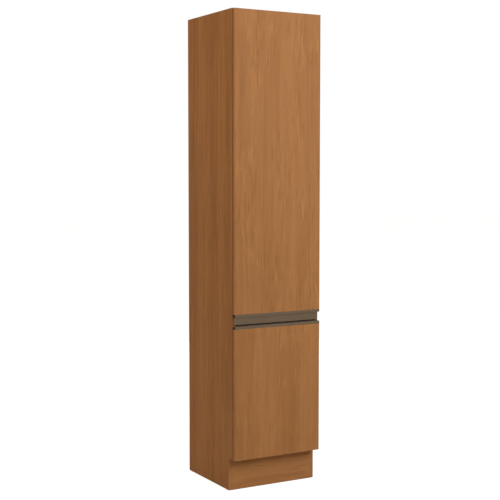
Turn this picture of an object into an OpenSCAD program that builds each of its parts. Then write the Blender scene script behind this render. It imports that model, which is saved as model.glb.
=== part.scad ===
// Tall kitchen cabinet with a tall door over a short one and an aluminium finger pull between them.
// X runs from the left to the right side, Y from the door fronts (-) to the wall (+), Z up.
// The origin is on the floor, at the middle of the cabinet's width and of its depth with the doors.

/* [Cabinet] */
// Width over the two side panels
unit_w = 450; // [400:10:600]
// Height from the floor to the top of the carcass
unit_h = 2160; // [2000:20:2300]
// Depth from the door fronts to the rear edges of the sides
unit_d = 456; // [400:4:600]
// Thickness of the carcass boards
board_t = 15; // [15:1:18]
// Thickness of the two door boards
door_t = 15; // [15:1:18]
// Height of the underside of the bottom panel
plinth_h = 148; // [100:2:180]
// Setback of the toe kick from the front edges of the sides
kick_setback = 34; // [25:1:60]
// Height of the middle of the fixed shelf behind the finger pull
middle_z = 758.5; // [700:0.5:900]
// Thickness of the edge bands
band_t = 1; // [0.6:0.1:1.2]

/* [Doors] */
// Gap between the doors' back faces and the carcass
door_gap = 3; // [2.9:0.1:3.6]
// How far each door edge stays inside the cabinet's side and top faces
door_reveal = 1; // [0.5:0.1:1.5]
// Open height between the lower pull and the upper pull
pull_reveal = 5; // [4:0.5:8]
// Diameter of the rubber buffers on the doors
buffer_d = 8; // [6:0.5:10]

/* [Finger pulls] */
// Height of the upper pull's back web, from the door board down
web_h = 48; // [40:1:60]
// Height of the upper pull's front lip
upper_lip_h = 12; // [10:0.5:16]
// Height of the lower pull's front lip
lower_lip_h = 13; // [10:0.5:16]
// Height of the lower pull's back leg
lower_leg_h = 14; // [11:0.5:17]
// Wall of the aluminium profiles
pull_wall = 1.5; // [1.2:0.1:2]
// Length of the tongues that hold the profiles in the door edges
tongue_len = 9; // [7:0.5:12]
// Thickness of the tongues
tongue_t = 1.6; // [1.2:0.1:2]
// Thickness of the end caps
cap_t = 2; // [1:0.5:3]
// Length of the end caps' plugs inside the lips
cap_plug = 4; // [3:0.5:8]

/* [Inside] */
// Number of loose shelves behind the upper door
upper_shelves = 3; // [2:1:4]
// Number of loose shelves behind the lower door
lower_shelves = 1; // [1:1:2]
// Setback of the loose shelves from the front edges of the carcass
shelf_setback = 20; // [10:1:40]
// Side play of a loose shelf at each end
shelf_play = 1; // [0.5:0.1:1.5]
// Diameter of the shelf pins
shelf_pin_d = 5; // [4:0.5:6]
// Step of the shelf pin holes
hole_pitch = 32; // [25:1:40]
// Distance of the hole rows from the front and rear edges of the boards
row_inset = 37; // [32:1:60]
// Thickness of the back panels
back_t = 3; // [3:0.5:6]
// Depth of the grooves that hold the back panels
groove_deep = 7; // [5:0.5:8]
// Height of the rear rails
rail_h = 100; // [70:5:150]
// Distance between the two wall screw holes in the top rear rail
wall_hole_span = 320; // [200:10:330]
// Diameter of the wall screw holes
wall_hole_d = 6; // [5:0.5:8]

/* [Fasteners and feet] */
// Diameter of the dowels
dowel_d = 8; // [6:1:9]
// Length of the dowels
dowel_len = 30; // [25:1:36]
// Diameter of the cam discs
cam_d = 15; // [13:0.5:16]
// Distance of the cam centres from the panel ends
cam_inset = 24; // [20:1:30]
// Distance of the cams from the front and rear edges of the panels
cam_row = 60; // [50:1:80]
// Leg of the brackets that hold the toe kick
bracket_leg = 28; // [20:1:35]
// Height of the foot glides
glide_h = 3; // [2:0.5:6]
// Diameter of the foot glides
glide_d = 13; // [10:0.5:14]

/* [Hinges] */
// Diameter of the hinge cups
cup_d = 35; // [34:0.5:35.5]
// Depth of the hinge cups
cup_deep = 12.2; // [12:0.1:12.6]
// Wood left between a cup and the door edge
cup_edge = 3; // [2.8:0.1:3.3]
// Distance of the end hinges from the door ends
hinge_inset = 100; // [80:5:130]
// Length of the hinge arms inside the cabinet
arm_len = 58; // [54:1:70]
// Diameter of the hinge pins
hinge_pin_d = 2.5; // [2:0.1:2.6]
// Thickness of the arms' necks that reach into the cups
neck_t = 1.8; // [1.4:0.1:1.9]
// Width of the necks along the pins
neck_w = 9; // [7:0.5:9]

/* [Clearances] */
// Play between boards that fit between others
slip = 0.2; // [0.1:0.05:0.4]
// Radial play of dowels, screws and cams in their bores
bore_play = 0.1; // [0.05:0.05:0.15]
// Radial play of the necks on the hinge pins
running_play = 0.05; // [0.02:0.01:0.08]
// Glue line between bands that meet at a corner
glue_line = 0.05; // [0.02:0.01:0.1]

/* [Hidden] */
$fn = 48;

// Planes of the carcass
half_w = unit_w / 2;
inner_w = half_w - board_t;
door_front = -unit_d / 2;
door_back = door_front + door_t;
front_y = door_back + door_gap;
rear_y = unit_d / 2;
back_y = rear_y - board_t - back_t;
kick_y = front_y + kick_setback;
bottom_top = plinth_h + board_t;
top_under = unit_h - board_t;
middle_under = middle_z - board_t / 2;
middle_top = middle_z + board_t / 2;

// Heights of the doors and of the pulls: the reveal between them is at the middle shelf
reveal_low = middle_z - pull_reveal / 2;
reveal_high = middle_z + pull_reveal / 2;
upper_wood_low = reveal_high + web_h;
upper_wood_high = unit_h - 2 * door_reveal;
lower_wood_low = plinth_h;
lower_wood_high = reveal_low - lower_leg_h;
door_half = half_w - door_reveal;
tongue_y = door_front + door_t / 2;

// Height of one level out of n that share a space with boards between them, counted from its floor
function level(share, below, n, low, high) =
    low + share * (high - low - n * board_t) / (n + 1) + below * board_t;

// Loose shelves share the height between the fixed boards evenly
upper_shelf_z = [for (i = [0 : upper_shelves - 1]) level(i + 1, i, upper_shelves, middle_top, top_under)];
lower_shelf_z = [for (i = [0 : lower_shelves - 1]) level(i + 1, i, lower_shelves, bottom_top, middle_under)];
all_shelf_z = concat(upper_shelf_z, lower_shelf_z);
shelf_front = front_y + shelf_setback;
shelf_rear = back_y - shelf_play;
row_ys = [front_y + row_inset, back_y - row_inset];
pin_deep = 8;
pin_stub = 8;
pin_collar = 1.2;
pin_r = shelf_pin_d / 2;
back_half = inner_w + groove_deep - slip;

// Hinge heights: one near each door end, the others in the middle of the shelf spaces
upper_hinge_z = [for (i = [0 : upper_shelves])
    i == 0 ? upper_wood_low + hinge_inset
    : i == upper_shelves ? upper_wood_high - hinge_inset
    : level(i + 0.5, i, upper_shelves, middle_top, top_under)];
lower_hinge_z = [lower_wood_low + hinge_inset, lower_wood_high - hinge_inset];
all_hinge_z = concat(lower_hinge_z, upper_hinge_z);

// Hinges are laid out from the outer face (u) and the front edge (v) of the right side panel.
// The pin lies close to the door's corner and deep in the cup, so the corner clears the carcass.
pin_room = 4;
pin_floor_room = 3.4;
pin_u = -door_reveal - cup_edge - pin_room;
pin_v = -door_gap - cup_deep + pin_floor_room;
pin_bore_r = hinge_pin_d / 2 + running_play;
knuckle_r = hinge_pin_d / 2 + 0.9;
neck_reach = 11.9;
neck_dip = 1.1;
neck_rise = 2;
cup_u = -door_reveal - cup_edge - cup_d / 2;
cup_floor = -door_gap - cup_deep;
cup_wall = 0.8;
cup_flange_t = 0.8;
cup_rim = 1;
cup_mouth = cup_d / 2 - bore_play - cup_wall;
cup_wing_in = 9.5;
cup_wing_w = 12;
cup_screw_z = 24;
cup_screw_r = 1.8;
cup_screw_len = 10;
cup_head_r = 3.4;
cup_head_t = 0.9;
ear_gap = 0.5;
ear_t = 2;
ear_z = neck_w / 2 + ear_gap;
pin_half = ear_z + 0.8 * ear_t;
cheek_gap = 0.7;
cheek_t = 1.8;
cheek_z = neck_w / 2 + cheek_gap;
plate_t = 2;
plate_v = 20;
plate_len = 34;
plate_half = 8;
wing_half = 24;
wing_len = 16;
plate_screw_z = hole_pitch / 2;
plate_screw_r = 2.5;
plate_screw_in = 11;
plate_head_r = 4.5;
plate_head_t = 2;
rail_t = 7;
rail_end = 4;
arm_web_t = 1.5;
arm_web_u = -board_t - plate_t - rail_t - 2 - arm_web_t;
arm_start = 4;
arm_mouth = 4;
arm_screw_r = 2;
arm_head_r = 3.4;
arm_head_t = 1.4;
arm_screw_vs = [plate_v + 8, arm_len - 10];

// Panels with cams: height of each board's middle, and the face that the cams are let into
cam_boards = [[plinth_h + board_t / 2, -1], [middle_z, -1], [unit_h - board_t / 2, 1]];
cam_deep = 12.5;
cam_slot = 6.6;
cross_w = 1.2;
cross_deep = 1.2;
cam_ys = [front_y + cam_row, back_y - cam_row];
dowel_step = 32;
dowel_ys = [cam_ys[0] + dowel_step, cam_ys[1] - dowel_step];
dowel_in = 9;
dowel_r = dowel_d / 2;
bolt_in = 10;
bolt_thread_r = 2.5;
bolt_collar_r = 3.6;
bolt_collar_t = 2;
bolt_shank_r = 2;
bolt_head_r = 3;
bolt_bore_r = 4;

// Rear rails and toe kick
rail_dowel_gap = 25;
top_rail_low = top_under - rail_h;
middle_rail_low = middle_z - rail_h / 2;
rail_dowel_zs = [for (low = [top_rail_low, middle_rail_low])
    for (z = [rail_dowel_gap, rail_h - rail_dowel_gap]) low + z];
rail_y = back_y + back_t + board_t / 2;
wall_hole_z = top_under - rail_h / 2;
bracket_xs = [-unit_w / 4, unit_w / 4];
bracket_w = 20;
bracket_t = 2;
bracket_hole = bracket_leg * 0.6;
small_screw_r = 1.75;
small_screw_len = 11;
small_head_r = 3.5;
small_head_t = 1.6;
glide_pin_r = 1.5;
glide_pin_len = 15;
glide_end = 25;
glide_ys = [kick_y + glide_end, rear_y - glide_end];

// Pulls and buffers
barb = 0.3;
barb_h = 1.2;
barb_step = 2.6;
pull_half = door_half - cap_t;
buffer_inset = 30;
buffer_gap = 0.3;

// A body on both sides of the middle plane
module both_sides() {
    children();
    mirror([1, 0, 0]) children();
}

// Box between two corners
module box(low, high) {
    translate(low) cube(high - low);
}

// Cylinders along X from x0 to x1, and along Y from y0 to y1, through the current origin
module rod_x(r, x0, x1) {
    translate([x0, 0, 0]) rotate([0, 90, 0]) cylinder(r = r, h = x1 - x0);
}

module rod_y(r, y0, y1) {
    translate([0, y1, 0]) rotate([90, 0, 0]) cylinder(r = r, h = y1 - y0);
}

// Bores for dowels: into the side from its inner face, and into the end of a board
module dowel_bore_in_side() {
    translate([inner_w, 0, 0]) rod_x(dowel_r + bore_play, -1, dowel_in + slip);
}

module dowel_bore_in_end() {
    translate([inner_w, 0, 0]) rod_x(dowel_r + bore_play, dowel_in - dowel_len - slip, 1);
}

// Origin of one hinge: the outer face of the right side at its front edge, at the hinge's height
module at_hinge(z) {
    translate([half_w, front_y, z]) children();
}

// Sides, drawn as the right one

module dowel_holes_in_side() {
    for (board = cam_boards)
        for (y = dowel_ys)
            translate([0, y, board[0]]) dowel_bore_in_side();
    for (z = rail_dowel_zs)
        translate([0, rail_y, z]) dowel_bore_in_side();
    translate([0, kick_y + board_t / 2, plinth_h / 2]) dowel_bore_in_side();
}

module bolt_holes_in_side() {
    for (board = cam_boards)
        for (y = cam_ys)
            translate([inner_w, y, board[0]]) rod_x(bolt_thread_r + bore_play, -1, bolt_in + slip);
}

module pin_holes_in_side() {
    for (z = all_shelf_z)
        for (step = [-1 : 1])
            for (y = row_ys)
                translate([inner_w, y, z - pin_r + step * hole_pitch])
                    rod_x(pin_r + bore_play, -1, pin_deep + slip);
}

module side_panel() {
    difference() {
        box([inner_w, front_y + band_t, glide_h], [half_w, rear_y, unit_h]);
        box([inner_w - 1, front_y - 1, -1], [half_w + 1, kick_y + band_t, plinth_h]);
        box([inner_w - 1, back_y - slip, bottom_top - groove_deep],
            [inner_w + groove_deep, back_y + back_t + slip, top_under + groove_deep]);
        dowel_holes_in_side();
        bolt_holes_in_side();
        pin_holes_in_side();
        for (y = glide_ys)
            translate([inner_w + board_t / 2, y, -1])
                cylinder(r = glide_pin_r + bore_play, h = glide_h + glide_pin_len + slip + 1);
    }
}

module side_panel_left() {
    color("#9c6a42") mirror([1, 0, 0]) side_panel();
}

module side_panel_right() {
    color("#9c6a42") difference() {
        side_panel();
        for (z = all_hinge_z)
            for (dz = [-plate_screw_z, plate_screw_z])
                at_hinge(z + dz) translate([-board_t, row_inset, 0])
                    rod_x(plate_screw_r + bore_play, -1, plate_screw_in + slip);
    }
}

// Bores in both ends of a fixed board whose middle is at height z, for dowels, bolts and cams
module end_bores(z, cam_face) {
    both_sides() {
        for (y = dowel_ys)
            translate([0, y, z]) dowel_bore_in_end();
        for (y = cam_ys)
            translate([inner_w, y, z]) {
                rod_x(bolt_bore_r, -cam_inset, 1);
                translate([-cam_inset, 0, cam_face > 0 ? board_t / 2 - cam_deep : -board_t / 2 - 1])
                    cylinder(r = cam_d / 2 + bore_play, h = cam_deep + 1);
            }
    }
}

module bottom_panel() {
    color("#d9cdbb") difference() {
        box([-inner_w, front_y + band_t, plinth_h], [inner_w, rear_y, bottom_top]);
        end_bores(cam_boards[0][0], cam_boards[0][1]);
        box([-inner_w - 1, back_y - slip, bottom_top - groove_deep],
            [inner_w + 1, back_y + back_t + slip, bottom_top + 1]);
        for (x = bracket_xs)
            translate([x, kick_y + board_t + bracket_hole, plinth_h - 1])
                cylinder(r = small_screw_r + bore_play, h = small_screw_len + slip + 1);
    }
}

module top_panel() {
    color("#d9cdbb") difference() {
        box([-inner_w, front_y + band_t, top_under], [inner_w, rear_y, unit_h]);
        end_bores(cam_boards[2][0], cam_boards[2][1]);
        box([-inner_w - 1, back_y - slip, top_under - 1],
            [inner_w + 1, back_y + back_t + slip, top_under + groove_deep]);
    }
}

module middle_shelf() {
    color("#d9cdbb") difference() {
        box([-inner_w, front_y + band_t, middle_under], [inner_w, back_y - slip, middle_top]);
        end_bores(cam_boards[1][0], cam_boards[1][1]);
    }
}

module loose_shelf(z) {
    box([-inner_w + shelf_play, shelf_front + band_t, z], [inner_w - shelf_play, shelf_rear, z + board_t]);
}

module upper_loose_shelves() {
    color("#e4dac9") for (z = upper_shelf_z) loose_shelf(z);
}

module lower_loose_shelf() {
    color("#e4dac9") for (z = lower_shelf_z) loose_shelf(z);
}

// Back panels in the grooves, meeting behind the middle shelf

module upper_back_panel() {
    color("#e9e1d3") difference() {
        box([-back_half, back_y, middle_z + slip],
            [back_half, back_y + back_t, top_under + groove_deep - slip]);
        for (x = [-wall_hole_span / 2, wall_hole_span / 2])
            translate([x, 0, wall_hole_z]) rod_y(wall_hole_d / 2, back_y - 1, back_y + back_t + 1);
    }
}

module lower_back_panel() {
    color("#e9e1d3")
        box([-back_half, back_y, bottom_top - groove_deep + slip],
            [back_half, back_y + back_t, middle_z - slip]);
}

// Rear rails behind the back panels, between the sides
module rear_rail(low) {
    difference() {
        box([-inner_w + slip, back_y + back_t, low], [inner_w - slip, rear_y, low + rail_h]);
        for (z = rail_dowel_zs)
            both_sides() translate([0, rail_y, z]) dowel_bore_in_end();
    }
}

module top_rear_rail() {
    color("#c9a97c") difference() {
        rear_rail(top_rail_low);
        for (x = [-wall_hole_span / 2, wall_hole_span / 2])
            translate([x, 0, wall_hole_z]) rod_y(wall_hole_d / 2, back_y, rear_y + 1);
    }
}

module middle_rear_rail() {
    color("#c9a97c") rear_rail(middle_rail_low);
}

// Toe kick, on brackets under the bottom panel

module toe_kick_board() {
    color("#8f6238") difference() {
        box([-inner_w + slip, kick_y, glide_h], [inner_w - slip, kick_y + board_t, plinth_h - slip]);
        both_sides() translate([0, kick_y + board_t / 2, plinth_h / 2]) dowel_bore_in_end();
        for (x = bracket_xs)
            translate([x, kick_y + board_t, plinth_h - bracket_hole])
                rod_y(small_screw_r + bore_play, -small_screw_len - slip, 1);
    }
}

module toe_kick_brackets() {
    color("#b9bbbd") for (x = bracket_xs)
        translate([x, kick_y + board_t, plinth_h]) difference() {
            box([-bracket_w / 2, 0, -bracket_leg], [bracket_w / 2, bracket_leg, 0]);
            box([-bracket_w, bracket_t, -bracket_leg - 1], [bracket_w, bracket_leg + 1, -bracket_t]);
            translate([0, 0, -bracket_hole]) rod_y(small_screw_r + bore_play, -1, bracket_t + 1);
            translate([0, bracket_hole, -bracket_t - 1])
                cylinder(r = small_screw_r + bore_play, h = bracket_t + 2);
        }
}

module toe_kick_screws() {
    color("#8d8f91") for (x = bracket_xs)
        translate([x, kick_y + board_t, plinth_h]) {
            translate([0, 0, -bracket_hole]) {
                rod_y(small_screw_r, -small_screw_len, bracket_t);
                rod_y(small_head_r, bracket_t, bracket_t + small_head_t);
            }
            translate([0, bracket_hole, -bracket_t - small_head_t]) {
                cylinder(r = small_head_r, h = small_head_t);
                cylinder(r = small_screw_r, h = small_head_t + bracket_t + small_screw_len);
            }
        }
}

// Bands on the front edges of the carcass
module side_edge_bands() {
    color("#a8764b") both_sides() {
        box([inner_w, front_y, plinth_h], [half_w, front_y + band_t, unit_h]);
        box([inner_w, kick_y, glide_h], [half_w, kick_y + band_t, plinth_h]);
    }
}

module panel_edge_bands() {
    color("#a8764b") for (z = [plinth_h, middle_under, top_under])
        box([-inner_w, front_y, z], [inner_w, front_y + band_t, z + board_t]);
}

module shelf_edge_bands() {
    color("#e4dac9") for (z = all_shelf_z)
        box([-inner_w + shelf_play, shelf_front, z],
            [inner_w - shelf_play, shelf_front + band_t, z + board_t]);
}

// Pins under the loose shelves: a plug in the side, a collar and a stub that the shelf lies on
module shelf_pins() {
    collar_t = shelf_play * 0.7;
    color("#c4c6c8") for (z = all_shelf_z)
        for (y = row_ys)
            both_sides() translate([inner_w, y, z - pin_r]) {
                rod_x(pin_r, -shelf_play - pin_stub, pin_deep);
                rod_x(pin_r + pin_collar, -collar_t, 0);
            }
}

module dowel() {
    translate([inner_w, 0, 0]) rod_x(dowel_r, dowel_in - dowel_len, dowel_in);
}

module wood_dowels() {
    color("#d8b98a") both_sides() {
        for (board = cam_boards)
            for (y = dowel_ys)
                translate([0, y, board[0]]) dowel();
        for (z = rail_dowel_zs)
            translate([0, rail_y, z]) dowel();
        translate([0, kick_y + board_t / 2, plinth_h / 2]) dowel();
    }
}

// Cam discs in the boards, with a slot for the bolt's head and a cross for the driver
module cam_discs() {
    color("#a9abad") both_sides()
        for (board = cam_boards)
            for (y = cam_ys)
                translate([inner_w - cam_inset, y, board[0]]) difference() {
                    translate([0, 0, board[1] > 0 ? board_t / 2 - cam_deep + slip : -board_t / 2])
                        cylinder(r = cam_d / 2, h = cam_deep - slip);
                    box([-cam_slot / 2, -cam_slot / 2, -cam_slot / 2], [cam_d, cam_slot / 2, cam_slot / 2]);
                    translate([0, 0, board[1] * board_t / 2]) {
                        box([-cam_d / 4, -cross_w / 2, -cross_deep], [cam_d / 4, cross_w / 2, cross_deep]);
                        box([-cross_w / 2, -cam_d / 4, -cross_deep], [cross_w / 2, cam_d / 4, cross_deep]);
                    }
                }
}

// Bolts that the cams draw in: thread in the side, collar, shank and head in the cam's slot
module cam_bolts() {
    shank_end = bolt_head_r - cam_inset;
    color("#c9a24a") both_sides()
        for (board = cam_boards)
            for (y = cam_ys)
                translate([inner_w, y, board[0]]) {
                    rod_x(bolt_thread_r, 0, bolt_in);
                    rod_x(bolt_collar_r, -bolt_collar_t, 0);
                    rod_x(bolt_shank_r, shank_end, -bolt_collar_t);
                    rod_x(bolt_head_r, -cam_inset - bolt_collar_t, shank_end);
                }
}

// Glides nailed under the sides
module foot_glides() {
    color("#2b2a29") both_sides()
        for (y = glide_ys)
            translate([inner_w + board_t / 2, y, 0]) {
                cylinder(r = glide_d / 2, h = glide_h);
                cylinder(r = glide_pin_r, h = glide_h + glide_pin_len);
            }
}

// Hinge parts on the right side panel

module hinge_mounting_plates() {
    rail_u = -board_t - plate_t - rail_t;
    color("#b4b7ba") for (z = all_hinge_z) at_hinge(z) difference() {
        union() {
            box([-board_t - plate_t, plate_v, -plate_half], [-board_t, plate_v + plate_len, plate_half]);
            box([-board_t - plate_t, row_inset - wing_len / 2, -wing_half],
                [-board_t, row_inset + wing_len / 2, wing_half]);
            box([rail_u, plate_v + plate_t, slip - cheek_z],
                [-board_t - plate_t, arm_len - rail_end, cheek_z - slip]);
        }
        for (dz = [-plate_screw_z, plate_screw_z])
            translate([-board_t, row_inset, dz]) rod_x(plate_screw_r + bore_play, -plate_t - 1, 1);
        for (v = arm_screw_vs)
            translate([rail_u, v, 0]) rod_x(arm_screw_r + bore_play, -1, rail_t - 1);
    }
}

module hinge_plate_screws() {
    color("#8d8f91") for (z = all_hinge_z)
        for (dz = [-plate_screw_z, plate_screw_z])
            at_hinge(z + dz) translate([-board_t, row_inset, 0]) {
                rod_x(plate_screw_r, -plate_t, plate_screw_in);
                rod_x(plate_head_r, -plate_t - plate_head_t, -plate_t);
            }
}

// Flat bar between two points, rounded at its far end
module bar_shape(from, to, half) {
    way = to - from;
    translate(from) rotate(atan2(way[1], way[0])) translate([0, -half]) square([norm(way), 2 * half]);
    translate(to) circle(r = half);
}

// The neck starts at the pin in the cup, leaves through the cup's mouth and joins the arm's web
module neck_shape() {
    pin = [pin_u, pin_v];
    bend = [pin_u - neck_reach, pin_v - neck_dip];
    knee = [pin_u - neck_reach, neck_rise];
    root = [arm_web_u + arm_web_t / 2, arm_start + arm_mouth + 1];
    difference() {
        union() {
            translate(pin) circle(r = knuckle_r);
            bar_shape(pin, bend, neck_t / 2);
            bar_shape(bend, knee, neck_t / 2);
            bar_shape(knee, root, neck_t / 2);
        }
        translate(pin) circle(r = pin_bore_r);
    }
}

module hinge_arms() {
    cheek_end = -board_t - plate_t - slip;
    color("#bcbfc2") for (z = all_hinge_z) at_hinge(z) {
        translate([0, 0, -neck_w / 2]) linear_extrude(height = neck_w) neck_shape();
        for (side = [-cheek_z - cheek_t, cheek_z])
            box([arm_web_u, arm_start, side], [cheek_end, arm_len, side + cheek_t]);
        difference() {
            box([arm_web_u, arm_start + arm_mouth, -cheek_z - cheek_t],
                [arm_web_u + arm_web_t, arm_len, cheek_z + cheek_t]);
            for (v = arm_screw_vs)
                translate([arm_web_u, v, 0]) rod_x(arm_screw_r + bore_play, -1, arm_web_t + 1);
        }
    }
}

module hinge_arm_screws() {
    color("#8d8f91") for (z = all_hinge_z)
        for (v = arm_screw_vs)
            at_hinge(z) translate([arm_web_u, v, 0]) {
                rod_x(arm_screw_r, 0, arm_web_t + rail_t);
                rod_x(arm_head_r, -arm_head_t, 0);
            }
}

// Hinge parts on the doors

// Cup with its flange, its two wings for screws and the two ears that hold the pin
module hinge_cup() {
    wing_u = cup_u - cup_wing_in;
    difference() {
        union() {
            translate([cup_u, 0, 0]) {
                rod_y(cup_d / 2 - bore_play, cup_floor, -door_gap);
                rod_y(cup_d / 2 + cup_rim, -door_gap, -door_gap + cup_flange_t);
            }
            box([wing_u - cup_wing_w / 2, -door_gap, -cup_screw_z - cup_wing_w / 2],
                [wing_u + cup_wing_w / 2, -door_gap + cup_flange_t, cup_screw_z + cup_wing_w / 2]);
        }
        translate([cup_u, 0, 0]) rod_y(cup_mouth, cup_floor + cup_wall, 1);
        for (dz = [-cup_screw_z, cup_screw_z])
            translate([wing_u, 0, dz]) rod_y(cup_screw_r + bore_play, -door_gap - 1, 1);
    }
    difference() {
        intersection() {
            translate([cup_u, 0, 0]) rod_y(cup_mouth + cup_wall / 2, cup_floor + cup_wall / 2, -door_gap);
            for (z = [-ear_z - ear_t, ear_z])
                box([pin_u - knuckle_r, cup_floor, z], [-door_reveal, pin_v + knuckle_r, z + ear_t]);
        }
        translate([pin_u, pin_v, -pin_half]) cylinder(r = pin_bore_r, h = 2 * pin_half);
    }
}

module upper_hinge_cups() {
    color("#b4b7ba") for (z = upper_hinge_z) at_hinge(z) hinge_cup();
}

module lower_hinge_cups() {
    color("#b4b7ba") for (z = lower_hinge_z) at_hinge(z) hinge_cup();
}

module cup_screws(heights) {
    for (z = heights)
        for (dz = [-cup_screw_z, cup_screw_z])
            at_hinge(z + dz) translate([cup_u - cup_wing_in, -door_gap + cup_flange_t, 0]) {
                rod_y(cup_screw_r, -cup_flange_t - cup_screw_len, 0);
                rod_y(cup_head_r, 0, cup_head_t);
            }
}

module upper_cup_screws() {
    color("#8d8f91") cup_screws(upper_hinge_z);
}

module lower_cup_screws() {
    color("#8d8f91") cup_screws(lower_hinge_z);
}

// Pins held at both ends in blind bores of the cups' ears
module cup_pins(heights) {
    for (z = heights) at_hinge(z)
        translate([pin_u, pin_v, -pin_half]) cylinder(r = hinge_pin_d / 2, h = 2 * pin_half);
}

module upper_cup_pins() {
    color("#d0d2d4") cup_pins(upper_hinge_z);
}

module lower_cup_pins() {
    color("#d0d2d4") cup_pins(lower_hinge_z);
}

// Doors

module cup_bores(heights) {
    for (z = heights) at_hinge(z) {
        translate([cup_u, 0, 0]) rod_y(cup_d / 2, cup_floor - slip, 1);
        for (dz = [-cup_screw_z, cup_screw_z])
            translate([cup_u - cup_wing_in, -door_gap, dz])
                rod_y(cup_screw_r + bore_play, -cup_screw_len - slip, 1);
    }
}

// Groove for a profile's tongue in a door edge, between two heights
module tongue_groove(low, high) {
    half = tongue_t / 2 + barb + slip;
    box([-half_w, tongue_y - half, low], [half_w, tongue_y + half, high]);
}

module upper_door_panel() {
    color("#a8744a") difference() {
        box([-door_half + band_t, door_front, upper_wood_low],
            [door_half - band_t, door_back, upper_wood_high - band_t]);
        tongue_groove(upper_wood_low - 1, upper_wood_low + tongue_len + slip);
        cup_bores(upper_hinge_z);
    }
}

module lower_door_panel() {
    color("#a8744a") difference() {
        box([-door_half + band_t, door_front, lower_wood_low + band_t],
            [door_half - band_t, door_back, lower_wood_high]);
        tongue_groove(lower_wood_high - tongue_len - slip, lower_wood_high + 1);
        cup_bores(lower_hinge_z);
    }
}

// Bands on both long edges of a door and on the end away from its pull, at height end_low
module door_edge_bands(low, high, end_low) {
    both_sides() box([door_half - band_t, door_front, low], [door_half, door_back, high]);
    box([glue_line + band_t - door_half, door_front, end_low],
        [door_half - band_t - glue_line, door_back, end_low + band_t]);
}

module upper_door_edge_bands() {
    color("#b07c52") door_edge_bands(upper_wood_low, upper_wood_high, upper_wood_high - band_t);
}

module lower_door_edge_bands() {
    color("#b07c52") door_edge_bands(lower_wood_low, lower_wood_high, lower_wood_low);
}

// Finger pull profiles, drawn across and extruded over the door's width.
// Each has a flange on the door edge, a barbed tongue, a front lip and a back web or leg.

module run_along_x(half) {
    translate([-half, 0, 0]) rotate([90, 0, 90]) linear_extrude(height = 2 * half) children();
}

module tongue_shape() {
    translate([-tongue_t / 2, 0]) square([tongue_t, tongue_len]);
    for (i = [1 : floor((tongue_len - barb_h) / barb_step)])
        translate([-tongue_t / 2 - barb, i * barb_step]) square([tongue_t + 2 * barb, barb_h]);
}

module pull_shape(lip_h, back_h) {
    square([door_t, pull_wall]);
    square([pull_wall, lip_h]);
    translate([door_t - pull_wall, 0]) square([pull_wall, back_h]);
    translate([door_t / 2, 0]) mirror([0, 1]) tongue_shape();
}

module upper_pull_profile() {
    color("#6a5c48") translate([0, door_front, upper_wood_low])
        run_along_x(pull_half) mirror([0, 1]) pull_shape(upper_lip_h, web_h);
}

module lower_pull_profile() {
    color("#6f614c") translate([0, door_front, lower_wood_high])
        run_along_x(pull_half) pull_shape(lower_lip_h, lower_leg_h);
}

// End cap: a plate over the profile's end with a plug inside the lip
module end_cap(lip_h) {
    inside = pull_wall + slip;
    box([pull_half, 0, 0], [door_half, door_t, lip_h]);
    box([pull_half - cap_plug, inside, inside], [pull_half, door_t - inside, lip_h - inside]);
}

module upper_pull_end_caps() {
    color("#241a12") translate([0, door_front, upper_wood_low])
        mirror([0, 0, 1]) both_sides() end_cap(upper_lip_h);
}

module lower_pull_end_caps() {
    color("#241a12") translate([0, door_front, lower_wood_high]) both_sides() end_cap(lower_lip_h);
}

// Buffers on the doors' back faces, over the left side's front edge
module door_buffers(heights) {
    for (z = heights)
        translate([door_reveal + board_t / 2 - half_w, 0, z])
            rod_y(buffer_d / 2, door_back, front_y - buffer_gap);
}

module upper_door_buffers() {
    color("#d8d2c6") door_buffers([upper_wood_low + buffer_inset, upper_wood_high - buffer_inset]);
}

module lower_door_buffers() {
    color("#d8d2c6") door_buffers([lower_wood_low + buffer_inset, lower_wood_high - buffer_inset]);
}

side_panel_left();
side_panel_right();
bottom_panel();
top_panel();
middle_shelf();
upper_loose_shelves();
lower_loose_shelf();
upper_back_panel();
lower_back_panel();
top_rear_rail();
middle_rear_rail();
toe_kick_board();
toe_kick_brackets();
toe_kick_screws();
side_edge_bands();
panel_edge_bands();
shelf_edge_bands();
shelf_pins();
wood_dowels();
cam_discs();
cam_bolts();
foot_glides();
hinge_mounting_plates();
hinge_plate_screws();
hinge_arms();
hinge_arm_screws();
upper_door_panel();
upper_door_edge_bands();
upper_pull_profile();
upper_pull_end_caps();
upper_hinge_cups();
upper_cup_screws();
upper_cup_pins();
upper_door_buffers();
lower_door_panel();
lower_door_edge_bands();
lower_pull_profile();
lower_pull_end_caps();
lower_hinge_cups();
lower_cup_screws();
lower_cup_pins();
lower_door_buffers();
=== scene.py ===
import math

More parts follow.
